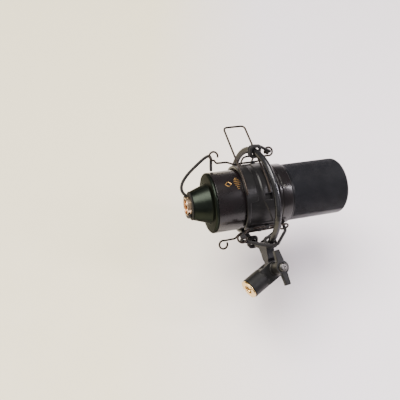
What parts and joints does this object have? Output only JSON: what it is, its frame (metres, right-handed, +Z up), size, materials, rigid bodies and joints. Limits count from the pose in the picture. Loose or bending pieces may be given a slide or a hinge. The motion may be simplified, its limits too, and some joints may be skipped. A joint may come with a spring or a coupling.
{
  "type": "condenser microphone in a shock mount",
  "caption": "Large-diaphragm side-address studio condenser microphone held in an elastic spider shock mount on a swivel stand adapter.",
  "frame": {"origin": "centre of the stand thread's mouth, on the flange face of the brass thread adapter", "axes": "-Y runs out of the thread mouth along the stand, +Z is up as stored, +X completes a right-handed frame"},
  "size_m": [0.1511, 0.1616, 0.1031],
  "materials": {
    "body_black": "gloss lacquer over a brass or aluminium tube",
    "satin_black": "satin powder coat",
    "tail_green_black": "satin dark grey-green lacquer",
    "grille_black": "fine woven wire mesh, matt",
    "wire_black": "black-oxide spring wire",
    "plastic_black": "moulded, lightly grained",
    "rubber_black": "matt",
    "elastic_black": "braided cover over a rubber core",
    "thread_brass": "turned, bright",
    "contact_gold": "gold plated",
    "fastener_steel": "zinc plated",
    "board_green": "fibreglass board",
    "film_gold": "metallised film"
  },
  "bodies": {
    "socket": {"socket_fork": "plastic_black", "hex_nut": "fastener_steel", "bolt_washer": "fastener_steel"},
    "adapter": {"thread_adapter": "thread_brass"},
    "clamp": {"clamp_bolt": "fastener_steel", "clamp_lever": "plastic_black"},
    "ring": {"ring_casting": "satin_black", "elastic_front_top": "elastic_black", "elastic_front_bottom": "elastic_black", "elastic_rear_top": "elastic_black", "elastic_rear_bottom": "elastic_black"},
    "cradle": {"hinge_pin": "fastener_steel", "torsion_spring": "fastener_steel", "retaining_elastic": "elastic_black"},
    "jaw_front": {"jaw_front": "satin_black", "pad_front": "rubber_black", "handle_long": "wire_black", "hook_wire_front_top": "wire_black", "hook_wire_front_bottom": "wire_black"},
    "jaw_rear": {"jaw_rear": "satin_black", "pad_rear": "rubber_black", "handle_short": "wire_black", "hook_wire_rear_top": "wire_black", "hook_wire_rear_bottom": "wire_black"},
    "microphone": {"tail_cap": "tail_green_black", "tail_rim": "rubber_black", "xlr_barrel": "contact_gold", "xlr_insert": "plastic_black", "xlr_pin_1": "contact_gold", "xlr_pin_2": "contact_gold", "xlr_pin_3": "contact_gold", "body_tube": "body_black", "chassis_base": "fastener_steel", "head_base": "fastener_steel", "chassis_rail_left": "fastener_steel", "chassis_rail_right": "fastener_steel", "circuit_board": "board_green", "coupling_capacitor": "plastic_black", "film_capacitor": "film_gold", "collar_ring": "body_black", "collar_screw_1": "fastener_steel", "collar_screw_2": "fastener_steel", "collar_screw_3": "fastener_steel", "capsule_stem": "rubber_black", "capsule_saddle": "plastic_black", "capsule_body": "thread_brass", "diaphragm": "film_gold", "capsule_clamp_ring": "thread_brass", "head_frame": "satin_black", "front_grille": "grille_black", "rear_grille": "grille_black"}
  },
  "joints": [
    {"name": "adapter_turn", "type": "hinge", "parent": "socket", "child": "adapter", "pos_m": [0, 0, 0], "axis": [0, -1, 0], "continuous": true},
    {"name": "lever_turn", "type": "hinge", "parent": "socket", "child": "clamp", "pos_m": [0, 0.0324, 0], "axis": [0.4305, 0, 0.9026], "continuous": true},
    {"name": "ring_tilt", "type": "hinge", "parent": "socket", "child": "ring", "pos_m": [0, 0.0324, 0], "axis": [0.4305, 0, 0.9026], "range_deg": [-156, 24]},
    {"name": "suspension_float", "type": "slide", "parent": "ring", "child": "cradle", "axis": [0.4346, 0.893, -0.1166], "range_m": [0, 0.005], "stiffness_N_per_m": 1500, "springref_m": -0.00035, "deforming": ["elastic_front_top", "elastic_front_bottom", "elastic_rear_top", "elastic_rear_bottom"]},
    {"name": "front_jaw_open", "type": "hinge", "parent": "cradle", "child": "jaw_front", "pos_m": [-0.09151, 0.08168, 0.03244], "axis": [-0.4346, -0.893, 0.1166], "range_deg": [0, 8], "stiffness_Nm_per_rad": 2, "springref_deg": -14.9},
    {"name": "rear_jaw_open", "type": "hinge", "parent": "cradle", "child": "jaw_rear", "pos_m": [-0.09151, 0.08168, 0.03244], "axis": [-0.4346, -0.893, 0.1166], "range_deg": [-8, 0]},
    {"name": "mic_turn", "type": "hinge", "parent": "cradle", "child": "microphone", "pos_m": [-0.065, 0.05512, 0.03073], "axis": [0.4346, 0.893, -0.1166], "continuous": true}
  ],
  "couplings": [
    {"joint": "rear_jaw_open", "follows": "front_jaw_open", "ratio": -1}
  ]
}
